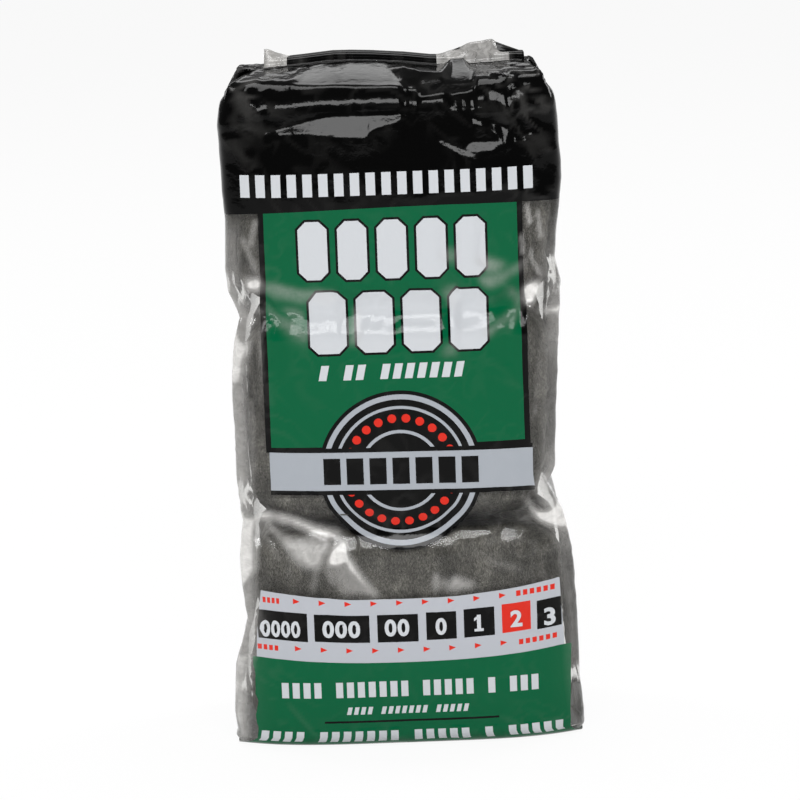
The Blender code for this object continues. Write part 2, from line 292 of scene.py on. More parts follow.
# the print runs straight past the places where the bag is drawn in at its sides
drawnIn = np.where(sideWay < 0, np.interp(height2d, bag["heights"], bag["leftWidths"]),
                   np.interp(height2d, bag["heights"], bag["rightWidths"])) - bag["cornerRadius"] - flatHalf
printOut = outward + drawnIn * np.minimum(column / 5, 1)
printAcross = sideWay * np.where(frontWay < 0, printOut, 2 * (quarterRound + drawnIn) - printOut)
print("bag rows", shape.shape)

# facets that the film lies in: the tilt that each takes, in degrees (90 faces up, 0 keeps the bag's own),
# how white it is painted as a highlight, and its corners as (across, height) on the film in mm
facets = (
    # roof and shoulder
    (82, 0, ((-32.6, 226.2), (-31.4, 230.2), (-30, 249), (-25.2, 250.4), (-21.8, 239.7), (-17.1, 233.9),
            (-15.8, 240.1), (-18.5, 251.8), (-22.1, 255.9), (-25.8, 267.9), (-24.4, 280), (-14.4, 260.2),
            (4.1, 256.9), (0, 250.9), (1, 240.7), (5.7, 224.5), (3.7, 224), (-15.1, 225.2))),
    (82, 0, ((6.6, 228), (8.3, 229.2), (10.5, 223.8), (7.1, 223.4))),
    (82, 0, ((-36.3, 239.6), (-32.3, 277.5), (-32.4, 261.9), (-34.8, 237.6))),
    (66, 0, ((1.3, 242.1), (10, 236.6), (19.1, 233.8), (25.8, 260.1), (29.9, 259.7), (30.1, 233.4),
            (29.7, 225.4), (27.7, 222.3), (22.7, 221), (16.3, 220.1), (10.9, 219.6), (10.7, 222.9),
            (5.8, 227.9))),
    (82, 0, ((41, 256.6), (41.5, 246), (43.4, 227.6), (42.1, 226.4), (40.3, 242.9))),
    (82, 0, ((35.4, 255.5), (35.7, 235.8), (34.6, 234.5), (34.4, 250.4))),
    # header front
    (23, 0, ((-42.3, 209.8), (-37.3, 210.8), (-27.3, 213.2), (-19.1, 215), (-11, 215.3), (-5.8, 214.8),
            (0.7, 214.4), (6, 215.2), (6.4, 214), (2.6, 211.4), (-1, 210.7), (-5.5, 209.3), (-7.7, 206.5),
            (-17.5, 207.3), (-27.6, 208.8), (-41.6, 208.8))),
    (23, 0, ((33.3, 222.4), (35.8, 221.2), (39.9, 219.2), (43.8, 215.8), (40.5, 215.2), (37.4, 217.4),
            (34.2, 220))),
    (23, 0, ((20.2, 215.4), (22.7, 217.5), (29.2, 216.8), (39.2, 214.9), (37.2, 214.5), (23.4, 214.5))),
    (24, 0, ((24.5, 212.5), (30.6, 211.9), (37, 210), (41, 208.2), (40.4, 204.3), (37.9, 202.1),
            (36.8, 206), (32.1, 209.4), (24.9, 211.7))),
    (23, 0, ((25.3, 203.5), (28.7, 204.9), (36.4, 204.9), (37.9, 203.3), (35, 201.1), (30.1, 200.5),
            (26.1, 201.9))),
    (25, 0, ((16.6, 206.1), (21.3, 203.9), (26.1, 201.5), (30.1, 199.4), (29.8, 198.6), (24.9, 200.1),
            (20.3, 202.7), (16, 205))),
    (27, 0, ((40.9, 205.4), (44.5, 205.2), (49.1, 207.2), (47.8, 204.9), (44.1, 203.7), (41.2, 204.2))),
    (23, 0, ((-47.4, 220.7), (-44.5, 223.9), (-44.2, 222.9), (-47.1, 220.3))),
    (23, 0, ((-45, 219.9), (-38.7, 224.8), (-38.9, 223.8), (-44.4, 219.4))),
    (23, 0, ((-46.9, 215.6), (-42.4, 219.1), (-40.1, 222.8), (-39.5, 222.7), (-41.8, 218.5),
            (-46.5, 215.1))),
    (23, 0, ((-35.9, 222), (-30.6, 222.4), (-31.4, 221), (-35.3, 221.1))),
    (23, 0, ((40.6, 223.7), (41.7, 223.1), (42.8, 220.6), (41.5, 220.5))),
    (23, 0, ((43.2, 219.7), (46.8, 217.9), (46.5, 217.3), (42.8, 219.2))),
    (14, 0, ((-39.4, 201.3), (-29.8, 200.2), (-20.4, 200.9), (-20.5, 199.6), (-29.9, 198.9),
            (-39.2, 200.3))),
    (14, 0, ((15.8, 198.7), (26.7, 196.9), (41.5, 198.1), (41.5, 196.8), (26.7, 195.7), (15.7, 197.4))),
    # below the top tier
    (23, 0.38, ((-45, 159.5), (-37, 157.7), (-32.2, 156.3), (-26, 156.3), (-20.3, 155.5), (-21.3, 152.8),
            (-33.1, 153.6), (-37.8, 154.7), (-44.4, 156.2))),
    (23, 0.28, ((-41.6, 150.5), (-37.9, 150.7), (-34.5, 149.7), (-33.8, 147.5), (-35.1, 146.1),
            (-38.9, 147.5))),
    (23, 0.38, ((-46.5, 152.5), (-45.7, 149.8), (-43.1, 147.6), (-37, 145.1), (-32.4, 143), (-31.7, 139.4),
            (-36.3, 141.6), (-43.8, 145.5), (-46.8, 149))),
    (20, 0.36, ((-15.4, 149.8), (-13.3, 149.7), (-12.7, 138.5), (-17.3, 138.3))),
    (25, 0.7, ((-53.1, 159.8), (-46.5, 161.5), (-45.7, 157.4), (-50.1, 156.9))),
    (0, 0.28, ((-59.2, 165.7), (-55.1, 158.6), (-49, 150.7), (-47.8, 148.1), (-51.6, 149.7), (-55.8, 154.6),
            (-59, 158.7))),
    (0, 0.6, ((-63.7, 144.7), (-59.9, 145.6), (-51.9, 139), (-53.1, 132.9), (-53.4, 125.3), (-59.3, 124.4),
            (-61, 135.8))),
    (20, 0.25, ((15.9, 167.2), (19.4, 169.4), (22.5, 168.9), (22.6, 164), (16.6, 165.8))),
    (23, 0.45, ((28.7, 166.7), (34.2, 165.4), (40.5, 163.1), (36.6, 161.3), (33.3, 160.5), (30.7, 163.6))),
    (25, 0.5, ((29.6, 159.3), (33.4, 159.2), (38.9, 160.2), (43.9, 162.2), (48.5, 164.5), (48.6, 163.9),
            (44.4, 161.2), (38.5, 158.5), (33.7, 156.7), (31, 157))),
    (23, 0.4, ((39.6, 154.9), (41.3, 154.4), (43.8, 150.7), (44.1, 148), (42.4, 144.4), (40.3, 141.5),
            (41.3, 144.5), (43.1, 148.1), (42.3, 151.2))),
    (23, 0.4, ((29.7, 140.1), (31.1, 141.4), (35.3, 143), (39.5, 145.8), (41.6, 147.6), (40.3, 144.6),
            (36.4, 142), (33.3, 139.7), (30.4, 139.8))),
    (18, 0.25, ((15.8, 155.4), (22, 156.6), (21.8, 150.5), (19.6, 149.2), (18.6, 152))),
    (18, 0.25, ((20.9, 138.2), (21.5, 134.2), (15.5, 133.5), (17.7, 136.4))),
    (25, 0.8, ((44.8, 154.5), (48.6, 156), (51.8, 156.5), (50.5, 153.7), (48.4, 149.7), (46.9, 148.2),
            (45.6, 149.9))),
    (20, 0.55, ((51.3, 163.3), (51.9, 163.3), (52.5, 157.7), (51.8, 157.8))),
    (0, 0.5, ((49.9, 146.4), (55.7, 149.5), (59.7, 148.2), (59.5, 139.6), (54.1, 144.1))),
    # above the bottom tier
    (28, 0.8, ((-53.9, 81.1), (-48.9, 81.6), (-41.9, 80.2), (-33.1, 76.6), (-25.7, 74.8), (-21.9, 73.5),
            (-23.9, 72.3), (-27.5, 72.3), (-33, 74.1), (-41.2, 77.8), (-46.6, 79.4), (-52.9, 79.6))),
    (25, 0.75, ((-51.2, 79.2), (-49, 77.9), (-44.2, 73.3), (-40.3, 69.1), (-39.4, 65.9), (-41.6, 69.1),
            (-45.6, 73.3), (-50.4, 77.9))),
    (22, 0.5, ((-44.2, 73.7), (-39.2, 72.5), (-32.9, 72.5), (-27.4, 71.6), (-25.6, 70.5), (-28.2, 66.6),
            (-29.6, 62.4), (-32.7, 62.5), (-36.2, 63.4), (-38.8, 65.5), (-40.3, 69.1))),
    (28, 0.88, ((-21.6, 72.3), (-20.3, 71.2), (-20, 66.4), (-21.1, 63.9), (-26, 63.6), (-27.3, 64.9),
            (-26, 68.2))),
    (18, 0.32, ((-26, 63.6), (-21.1, 63.5), (-16.9, 60.4), (-11.6, 53), (-19.9, 54.1), (-24, 58))),
    (25, 0.85, ((-20, 68.8), (-18.9, 65.5), (-16, 60.8), (-9.4, 52.3), (-11.6, 53), (-16.1, 58.3),
            (-20.3, 63.1))),
    (20, 0.5, ((-27.3, 64.9), (-26.1, 60.7), (-24.1, 56.8), (-20.4, 54.1), (-21.7, 54.1), (-25.5, 57.7),
            (-27.9, 61.5))),
    (20, 0.38, ((-53.1, 78.2), (-48.6, 72.1), (-43.6, 66.3), (-44.2, 66), (-49.3, 71.6), (-53.6, 77.4))),
    (20, 0.45, ((-31.1, 62.5), (-30.6, 62.3), (-32.3, 55.7), (-33, 55.7))),
    (20, 0.3, ((-40.6, 63.3), (-40.1, 63.3), (-41.4, 59.9), (-41.9, 59.9))),
    (0, 0.62, ((48.9, 84.1), (49.5, 79.7), (51.6, 78.2), (57.4, 82.7), (58.7, 88.6), (61.4, 87.9),
            (58.2, 82.7), (60, 78.7), (60.9, 73.8), (59.4, 68.5), (54.3, 71.6), (49.5, 75.2),
            (47.4, 78.6))),
    (20, 0.35, ((27.8, 64.4), (31.4, 62.4), (36.8, 61.2), (40.3, 59.2), (36.7, 60.5), (31.3, 61.6))),
    (25, 0.85, ((10.2, 59.2), (11.4, 59.1), (11.1, 54.3), (9.9, 54.3))),
    (25, 0.5, ((12.9, 57.5), (14.3, 57.4), (13.8, 54.7), (12.5, 54.8))),
    (22, 0.5, ((16.7, 58.4), (18.1, 58.1), (24.1, 55.4), (23.3, 54.6), (15.8, 53.9), (13.8, 54.4))),
    (-25, 0, ((19.9, 69.6), (28.9, 70.6), (34, 71.5), (34.1, 70.4), (28.6, 69.3), (19.7, 68.1))),
    (20, 0.3, ((27.7, 68), (31.9, 70.3), (32.3, 70), (28.3, 67.7))),
    # standing edges
    (0, 0.6, ((-59.1, 91.8), (-55.5, 92.5), (-57.5, 85.7), (-54.9, 81.2), (-52.9, 79.6), (-52.7, 75.1),
            (-51.9, 63), (-53.8, 58.5), (-55.9, 54.5), (-58.4, 54), (-61.2, 63.7), (-61.9, 76.9))),
    (0, 0.5, ((-58.5, 32.9), (-52.1, 34.2), (-53.3, -0.8), (-57, -0.6))),
)

# narrow folds: from and to as (across, height), width at each end, lift, and how white each is painted as a
# highlight
folds = (
    (-48, 222, -43, 214, 0.7, 0.9, 0.5, 0.0), (36, 232, 44, 221, 0.8, 1.0, 0.6, 0.0),
    (41, 226, 50, 214, 0.8, 0.9, 0.6, 0.0), (-47, 181, -49, 172, 1.0, 1.2, 0.5, 0.35),
    (-52, 176, -47, 163, 0.9, 1.2, 0.6, 0.3), (46, 183, 48, 176, 0.7, 0.9, 0.6, 0.6),
    (50, 181, 52, 171, 0.7, 0.8, 0.6, 0.5), (45, 173, 46.5, 166, 0.8, 0.9, 0.6, 0.6),
    (49, 168, 51.5, 158, 0.7, 0.8, 0.5, 0.45), (-50, 150, -47, 128, 0.8, 0.8, 0.4, 0.15),
    (52, 140, 50, 110, 1.2, 1.0, 0.4, 0.12), (-51, 120, -52, 92, 1.0, 1.2, 0.4, 0.2),
    (43, 77, 52, 70, 0.6, 0.8, 0.4, 0.12), (53.5, 66, 55, 20, 0.8, 1.0, 0.4, 0.25),
    (-52, 46, -53, 12, 0.8, 1.2, 0.5, 0.3), (-40, 16, -30, 4, 0.9, 1.0, 0.4, 0.05),
    (30, 9, 44, 2, 0.9, 1.0, 0.4, 0.05), (-178, 152, -150, 159, 1.2, 2.0, 0.7, 0.25),
    (152, 160, 174, 151, 1.6, 1.2, 0.7, 0.2), (-168, 79, -142, 85, 1.2, 1.8, 0.7, 0.25),
    (140, 70, 164, 76, 1.4, 1.0, 0.7, 0.2), (-146, 148, -138, 139, 0.8, 1.2, 0.6, 0.2),
    (146, 82, 137, 91, 0.8, 1.2, 0.6, 0.2), (-100, 152, -80, 146, 1.4, 1.8, 0.7, 0.35),
    (80, 78, 108, 72, 1.4, 1.8, 0.7, 0.35), (-104, 74, -84, 82, 1.2, 1.6, 0.7, 0.35),
    (84, 150, 104, 144, 1.2, 1.6, 0.7, 0.3),
)


# how the facets are laid: how soft their edges are and how far across they reach, in mm, the steepest turn in
# degrees, how much whiter (the painted highlight) and higher than listed, and over what height the film evens
# out
facetSet = {"soft": 0.8, "reach": 30, "steepest": 35, "whiter": 1.3, "higher": 1.1, "evenOver": 15.0,
            "highest": 284, "rowStep": 0.9, "jump": 6, "evenBelow": 192, "evenWithin": 6, "evenWhiter": 1.2}
# how crumpled the film is all over, and how much more in places, which are given by height and across in mm
crumpled = {
    "all": 0.10,
    "pinch": {"more": 0.55, "spread": 12, "middle": 0.35, "from": 20, "over": 30},
    "corner": {"more": 0.30, "spread": 9, "front": 52, "back": 134},
    "headerSide": {"more": 0.55, "from": 206, "outFrom": 30, "over": 14},
    "header": {"more": 0.16, "from": 214, "over": 14},
    "foot": {"more": 0.35, "to": 10},
    "gusset": {"more": 0.25, "from": 60, "to": 126, "over": 10},
}
# two sizes of ridges: their height, size, seed, softness and the level taken off them; then how far they are
# kept off the facets, and the painted glints whitening their crests
ridges = {"coarse": {"height": 1.1, "size": 15.0, "seed": 3.0, "soft": 0.06, "off": 0.35},
          "fine": {"height": 0.5, "size": 6.5, "seed": 11.0, "soft": 0.16, "off": 0.25, "flatter": 1.2},
          "onFacets": 0.85, "white": 0.3, "whiteFrom": 0.25, "whiteOver": 0.15}
# the film stands off the wool along its four upright corners: how far, at which column and how widely
wing = {"lift": 2.0, "at": 7.2, "spread": 1.5, "foot": 12, "aloft": 0.35, "from": 175, "over": 30}
# painted sheen standing in for the white reflection along the pack's upright front corners: heights, then how
# white it is painted
cornerSheenLevels = {"left": ((4, 14, 154, 166, 176, 182), (0.45, 0.7, 0.7, 0.4, 0.3, 0.0)),
                "right": ((6, 20, 62, 74, 92, 104, 126, 138, 158, 168, 182),
                          (0.1, 0.2, 0.2, 0.65, 0.65, 0.25, 0.25, 0.5, 0.5, 0.2, 0.0))}


def insidePolygon(u, v, corners, soft):   # 1 inside, 0 outside, with an edge this soft
    nearest = np.full(u.shape, 1e9)
    crossings = np.zeros(u.shape, int)
    for (u0, v0), (u1, v1) in zip(corners, corners[1:] + corners[:1]):
        du, dv = u1 - u0, v1 - v0
        on = np.clip(((u - u0) * du + (v - v0) * dv) / (du * du + dv * dv + 1e-9), 0, 1)
        nearest = np.minimum(nearest, np.hypot(u - u0 - on * du, v - v0 - on * dv))
        if dv:
            crossings += ((v0 > v) != (v1 > v)) & (u < u0 + (v - v0) / dv * du)
    signed = np.where(crossings % 2 == 1, nearest, -nearest)
    return np.clip(signed / soft + 0.5, 0, 1)


def smoothRows(values, spread):   # evens values out up and down the bag, over about this many mm
    step = facetSet["rowStep"]
    reach = int(3 * spread / step)
    weights = np.exp(-0.5 * (np.arange(-reach, reach + 1) * step / spread) ** 2)
    weights /= weights.sum()
    padded = np.pad(values, ((reach, reach), (0, 0)), mode="edge")
    return sum(w * padded[k:k + len(values)] for k, w in enumerate(weights))


def evened(values):   # each value evened out with its neighbours, twice over
    for _ in range(2):
        values = (np.roll(values, 1, 1) + 2 * values + np.roll(values, -1, 1)) / 4
        values[1:-1] = (values[:-2] + 2 * values[1:-1] + values[2:]) / 4
    return values


def layFacets(normals):
    u, v = across2d, height2d
    s = facetSet
    tilt = np.degrees(np.arctan2(normals[:, :, 2], -frontWay * -normals[:, :, 1]))
    slope, paintedSheen, flat = np.zeros(u.shape), np.zeros(u.shape), np.zeros(u.shape)
    for target, white, corners in facets:
        near = (np.abs(u - np.mean([c[0] for c in corners])) < s["reach"]) & (v > 0) & (v < s["highest"])
        mask = np.zeros(u.shape)
        mask[near] = insidePolygon(u[near], v[near], list(corners), s["soft"])
        if target:
            turn = np.clip(target - tilt, -s["steepest"], s["steepest"])
            slope = slope * (1 - mask) - mask * np.tan(np.radians(turn))
            flat = np.maximum(flat, mask)
        # the facet's painted highlight: the film there is whitened as if it shone
        paintedSheen = np.maximum(paintedSheen, min(1.0, s["whiter"] * white) * mask)
    steps = np.diff(v, axis=0, prepend=v[:1])
    steps = np.where(np.abs(steps) > s["jump"], 0, steps)
    lift = np.cumsum(slope * steps, axis=0)
    lift = lift - smoothRows(lift, s["evenOver"])
    low = rising(s["evenBelow"] - v, 0, s["evenWithin"])   # softer below the header
    lift = lift + (evened(lift) - lift) * low
    paintedSheen = paintedSheen + (np.minimum(s["evenWhiter"] * evened(paintedSheen), 1.0) - paintedSheen) * low
    return lift * s["higher"], paintedSheen, flat


def addFolds(lift, paintedSheen):
    u, v = across2d, height2d
    for u0, v0, u1, v1, startWidth, endWidth, rise, white in folds:
        reach = 4 * max(startWidth, endWidth)
        near = (u > min(u0, u1) - reach) & (u < max(u0, u1) + reach)
        near &= (v > min(v0, v1) - reach) & (v < max(v0, v1) + reach)
        du, dv = u1 - u0, v1 - v0
        pu, pv = u[near] - u0, v[near] - v0
        along = (pu * du + pv * dv) / (du * du + dv * dv)
        on = np.clip(along, 0, 1)
        past = np.hypot(pu - on * du, pv - on * dv)
        width = startWidth + (endWidth - startWidth) * on
        fade = np.clip(1.0 - np.maximum(np.abs(along - 0.5) - 0.38, 0) / 0.22, 0, 1)
        lift[near] += rise * np.exp(-(past / width) ** 1.4) * fade
        # painted highlight along the crest of the fold
        paintedSheen[near] = np.maximum(paintedSheen[near], white * np.exp(-(past / width) ** 3) * fade)


def crumpleMask():
    u, v = np.abs(across2d), height2d
    mask = crumpled["all"] + 0 * u
    s = crumpled["pinch"]
    for level, *_ in bag["pinches"]:
        outer = s["middle"] + (1 - s["middle"]) * rising(u, s["from"], s["over"])
        mask += s["more"] * np.exp(-((v - level) / s["spread"]) ** 2) * outer
    s = crumpled["corner"]
    for at in (s["front"], s["back"]):
        mask += s["more"] * np.exp(-((u - at) / s["spread"]) ** 2)
    s = crumpled["headerSide"]
    mask += s["more"] * rising(v, s["from"], s["over"]) * rising(u, s["outFrom"], s["over"])
    s = crumpled["header"]
    mask += s["more"] * rising(v, s["from"], s["over"])
    s = crumpled["foot"]
    mask += s["more"] * rising(s["to"] - v, 0, s["to"])
    s = crumpled["gusset"]
    mask += s["more"] * rising(u, s["from"], s["over"]) * rising(s["to"] - u, 0, s["over"])
    return np.clip(mask, 0, 1)


def ridged(u, v, s):   # sharp creases between soft facets, as in crumpled film
    out = np.empty(u.shape)
    flat = out.reshape(-1)
    for i, (a, b) in enumerate(zip((u / s["size"]).reshape(-1), (v / s["size"]).reshape(-1))):
        bend = noise.noise(Vector((a * 0.5, b * 0.5, s["seed"] + 9.0)))
        flat[i] = 1 - math.hypot(noise.noise(Vector((a + bend, b - bend, s["seed"]))), s["soft"]) * 2
    return out - s["off"]


def crumpleFilm(lift, paintedSheen, flat):
    u, v = across2d, height2d
    s = ridges
    crumple = crumpleMask()
    coarse = ridged(u, v, s["coarse"])
    fine = ridged(u, v * s["fine"]["flatter"], s["fine"])
    height = s["coarse"]["height"] * coarse + s["fine"]["height"] * fine
    height = height * np.interp(v, (190, 215), (1.0, 0.65))   # lower on the header
    lift = lift + crumple * (1 - s["onFacets"] * flat) * height
    deepest = -0.5 - crumple - 2.0 * rising(v, 186, 20)   # it can sink deeper at the header
    # painted glints on the crests of the crumples
    paintedSheen = paintedSheen + s["white"] * crumple * rising(fine, s["whiteFrom"], s["whiteOver"]) * np.clip(coarse, 0, 1)
    return np.maximum(lift, deepest), paintedSheen


def wingLift():
    s = wing
    up = s["aloft"] + (1 - s["aloft"]) * rising(s["from"] - height2d, 0, s["over"])
    up = up * rising(height2d, 0, s["foot"])
    return s["lift"] * np.exp(-((column - s["at"]) / s["spread"]) ** 2) * up


# painted sheen along the upright front corners
def cornerPaintedSheen():
    left, right = (np.interp(height2d, *cornerSheenLevels[side]) for side in ("left", "right"))
    return np.where(sideWay < 0, left, right) * np.exp(-np.abs((column - 8.1) / 2.5) ** 4)


def surfaceNormals(points):
    normal = np.cross(np.gradient(points, axis=1), np.gradient(points, axis=0))
    return normal / np.maximum(np.linalg.norm(normal, axis=2, keepdims=True), 1e-9)


def shapeFilm():   # the bag's rows with the folds of the film on them
    normals = surfaceNormals(shape[:, :, :3])
    lift, paintedSheen, flat = layFacets(normals)
    addFolds(lift, paintedSheen)
    lift, paintedSheen = crumpleFilm(lift, paintedSheen, flat)
    lift = lift + wingLift()
    paintedSheen = np.clip(np.maximum(paintedSheen, cornerPaintedSheen()), 0, 1)
    # the base and the seal keep their shape
    quiet = rising(height2d, -2, 6) * rising(roofHeight + 40 - height2d, 0, 8)
    points = shape[:, :, :3] + normals * (lift * quiet)[:, :, None]
    points[:, 0] = points[:, -1] = (points[:, 0] + points[:, -1]) / 2
    return points, paintedSheen


points, paintedSheen = shapeFilm()
normals = surfaceNormals(points)
pack = points * mm
print("film folds shaped")


def addFilm():
    rowCount, columnCount = pack.shape[:2]
    bm = bmesh.new()
    bmesh.ops.create_grid(bm, x_segments=columnCount - 1, y_segments=rowCount - 1, size=1.0)
    printLayer = bm.loops.layers.uv.new("print")
    # the painted sheen and highlights are carried on each point of the film
    paintedSheenLayer = bm.verts.layers.float.new("paintedSheen")
    spot = {}
    for vert in bm.verts:
        c = round((vert.co.x + 1) / 2 * (columnCount - 1))
        r = round((vert.co.y + 1) / 2 * (rowCount - 1))
        spot[vert] = (r, c)
        vert[paintedSheenLayer] = paintedSheen[r, c]
    for face in bm.faces:
        for loop in face.loops:
            r, c = spot[loop.vert]
            loop[printLayer].uv = (printAcross[r, c] * mm, shape[r, c, 3] * mm)
        face.smooth = True
    for vert, (r, c) in spot.items():
        vert.co = pack[r, c]
    bmesh.ops.remove_doubles(bm, verts=bm.verts, dist=0.000002)
    print("film faces", len(bm.faces), "open edges", sum(e.is_boundary for e in bm.edges))
    mesh = bpy.data.meshes.new("packFilm")
    bm.to_mesh(mesh)
    bm.free()
    piece = bpy.data.objects.new("packFilm", mesh)
    bpy.context.collection.objects.link(piece)
    return piece


film = addFilm()
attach(film, "root")
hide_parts("film_bag")


def onFilm(u, v, rise):   # a point on the front of the film, from its place on the print
    firstRow = bag["steps"]["base"] + bag["steps"]["foot"]
    heights = shape[firstRow:-bag["steps"]["roof"] - 10, 2 * last, 3]
    r = np.interp(v, heights, np.arange(firstRow, firstRow + len(heights)))
    row = int(r)
    c = np.interp(u, printAcross[row, last:3 * last + 1], np.arange(last, 3 * last + 1))
    low = int(c)
    here = pack[row:row + 2, low:low + 2]
    lower = here[0, 0] * (1 - c + low) + here[0, 1] * (c - low)
    upper = here[1, 0] * (1 - c + low) + here[1, 1] * (c - low)
    return Vector(lower * (1 - r + row) + upper * (r - row)) + Vector(normals[row, low]) * rise * mm


def linear(red, green, blue):   # a colour as seen on a screen, 0 to 255, as the shaders take it
    part = [c / 255 for c in (red, green, blue)]
    return tuple(c / 12.92 if c <= 0.04045 else ((c + 0.055) / 1.055) ** 2.4 for c in part) + (1.0,)


def newMaterial(name):
    material = bpy.data.materials.new(name)
    material.use_nodes = True
    material.node_tree.nodes.clear()
    return material, material.node_tree


def node(tree, kind, settings=None, **inputs):
    item = tree.nodes.new("ShaderNode" + kind)
    for key, value in (settings or {}).items():
        setattr(item, key, value)
    for key, value in inputs.items():
        byNumber = key[0] == "i" and key[1:].isdigit()
        socket = item.inputs[int(key[1:]) if byNumber else key.replace("_", " ")]
        if isinstance(value, bpy.types.NodeSocket):
            tree.links.new(value, socket)
        else:
            socket.default_value = value
    return item


def calc(tree, operation, first, second=0.0, third=0.0):
    return node(tree, "Math", {"operation": operation}, i0=first, i1=second, i2=third).outputs[0]


def blend(tree, share, first, second):
    item = node(tree, "Mix", {"data_type": "RGBA"}, i0=share, i6=first, i7=second)
    return item.outputs[2]


def ramp(tree, value, low, high, start=0.0, end=1.0):
    return node(tree, "MapRange", {"clamp": True}, i0=value, i1=low, i2=high, i3=start, i4=end).outputs[0]


# wool: ribbons wound flat into pads
pad = {
    "layers": 4,
    "depth": 18.4,
    "ribbonGap": 0.5,
    "tailSetback": 4.0,
    "inset": 0.25,
    "stations": 74,
    "rough": 0.42,
    "nap": 0.16,
    "ragged": 1.2,
    "raggedOver": 6,
    "bow": 3.0,   # all pads bow together
    "topDrop": 1.8,   # the uppermost wool keeps clear of the folded roof
    "topFrom": 203,
    "topOver": 18,
    "leftRoom": 3.4,
    "rightRoom": 2.2,
    "ends": ((0.0, 0.72), (1.2, 0.82), (4.0, 0.90), (10.0, 0.957), (20.0, 1.0)),
}


def ribbonPath(height, pitch):   # the middle line of the ribbon in its section, as (depth, height)
    half = (pitch - pad["ribbonGap"]) / 2
    spots = [0.0]
    for step in range(1, pad["layers"]):
        spots.append(spots[-1] + (step if step % 2 else -step) * pitch)
    centre = (min(spots) + max(spots)) / 2
    turns = [((spots[k - 1] + spots[k]) / 2 - centre, k * pitch / 2) for k in range(1, pad["layers"])]
    path = []
    for step, (middle, radius) in enumerate(turns, start=1):
        way = 1 if step % 2 else -1
        widest = max(reach for _, reach in turns[(step - 1) % 2::2])
        level = way * (height / 2 - widest - half)
        if step == 1:
            path.append((middle - radius, -way * (height / 2 - pitch - half)))
        parts = 8 + 4 * step
        for k in range(parts + 1):
            turn = math.pi * k / parts
            path.append((middle - way * math.cos(turn) * radius, level + way * math.sin(turn) * radius))
    path.append((path[-1][0], -math.copysign(height / 2 - pad["tailSetback"], path[-1][1])))
    return np.array(path), half


def denser(path, step):   # the same line in even steps
    run = np.concatenate([[0], np.cumsum(np.hypot(*np.diff(path, axis=0).T))])
    even = np.linspace(0, run[-1], int(run[-1] / step) + 1)
    return np.stack([np.interp(even, run, path[:, 0]), np.interp(even, run, path[:, 1])], axis=1)


def woundSection(height, depth):   # once round the wound ribbon, as (depth, height)
    path, half = ribbonPath(height, depth / pad["layers"])
    line = denser(path, 2.1)
    slope = np.gradient(line, axis=0)
    slope /= np.linalg.norm(slope, axis=1, keepdims=True)
    side = np.stack([slope[:, 1], -slope[:, 0]], axis=1)
    count = np.arange(len(line))
    fromEnd = np.minimum(count, count[::-1])
    plump = half * np.clip(0.55 + fromEnd * 0.25, 0, 1)[:, None]
    return np.concatenate([line - side * plump, (line + side * plump)[::-1]])


def extrudePad(section, width, flip):
    bm = bmesh.new()
    ring = [bm.verts.new((-width / 2, y * flip, z)) for y, z in section]
    edges = [bm.edges.new((ring[k], ring[(k + 1) % len(ring)])) for k in range(len(ring))]
    firstEdges = list(edges)
    for _ in range(pad["stations"]):
        grown = bmesh.ops.extrude_edge_only(bm, edges=edges)["geom"]
        edges = [item for item in grown if isinstance(item, bmesh.types.BMEdge)]
        moved = [item for item in grown if isinstance(item, bmesh.types.BMVert)]
        bmesh.ops.translate(bm, verts=moved, vec=(width / pad["stations"], 0, 0))
    bmesh.ops.triangle_fill(bm, edges=firstEdges, use_beauty=True)
    bmesh.ops.triangle_fill(bm, edges=edges, use_beauty=True)
    bmesh.ops.recalc_face_normals(bm, faces=bm.faces)
    bm.normal_update()
    return bm


def roughness(vert, seed):   # how far the wool stands out here
    spot = Vector((vert.co.x * 0.16, vert.co.y * 0.16 + seed * 7.3, vert.co.z * 0.16))
    nap = noise.noise(spot * 5.3) + 0.6 * noise.noise(spot * 11.0)
    return pad["rough"] * noise.noise(spot) + pad["nap"] * nap - pad["inset"]


def shapePad(bm, width, middle, seed):   # roughens the pad, presses it into the bag and sets it in its place
    away = {vert: vert.normal * roughness(vert, seed) for vert in bm.verts}
    for vert in bm.verts:
        x = vert.co.x
        toEnd = width / 2 - abs(x)
        share = np.interp(toEnd, *zip(*pad["ends"]))
        moved = vert.co + away[vert]
        tuft = noise.noise(Vector((vert.co.y * 0.5, vert.co.z * 0.35, seed))) * pad["ragged"]
        ragged = tuft * math.copysign(max(0, 1 - toEnd / pad["raggedOver"]), x)
        z = middle.z + moved.z * share
        z -= pad["topDrop"] * rising(z, pad["topFrom"], pad["topOver"])
        y = middle.y + moved.y * share
        bow = noise.noise(Vector((x * 0.045, z * 0.03, 5.0))) * (1 - min(abs(y) / 37.5, 1) ** 2)
        y += pad["bow"] * bow
        wide = np.interp(z, bag["heights"], bag["leftWidths" if x < 0 else "rightWidths"])
        crease = bag["gussetCrease"] * (1 - min(abs(y) / bag["halfDepth"], 1)) ** 1.5
        room = wide - crease - pad["leftRoom" if x < 0 else "rightRoom"]
        x = (moved.x + ragged) * min(1, room / (width / 2 + 0.6))
        vert.co = Vector((x, y * flatten(vert.co.x) * float(lean(z + 4)), z)) * mm
    for face in bm.faces:
        face.smooth = True


def addPad(name, seed, flip):
    low, high = (corner * 1000 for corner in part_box(name))
    width = high.x - low.x
    depth = min(pad["depth"], high.y - low.y + 0.4)
    bm = extrudePad(woundSection(high.z - low.z, depth), width, flip)
    shapePad(bm, width, (low + high) / 2, seed)
    mesh = bpy.data.meshes.new(name)
    bm.to_mesh(mesh)
    bm.free()
    mesh.materials.append(woolMaterial)
    piece = bpy.data.objects.new("wool_" + name, mesh)
    bpy.context.collection.objects.link(piece)
    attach(piece, "root")
    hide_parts(name)
    return piece


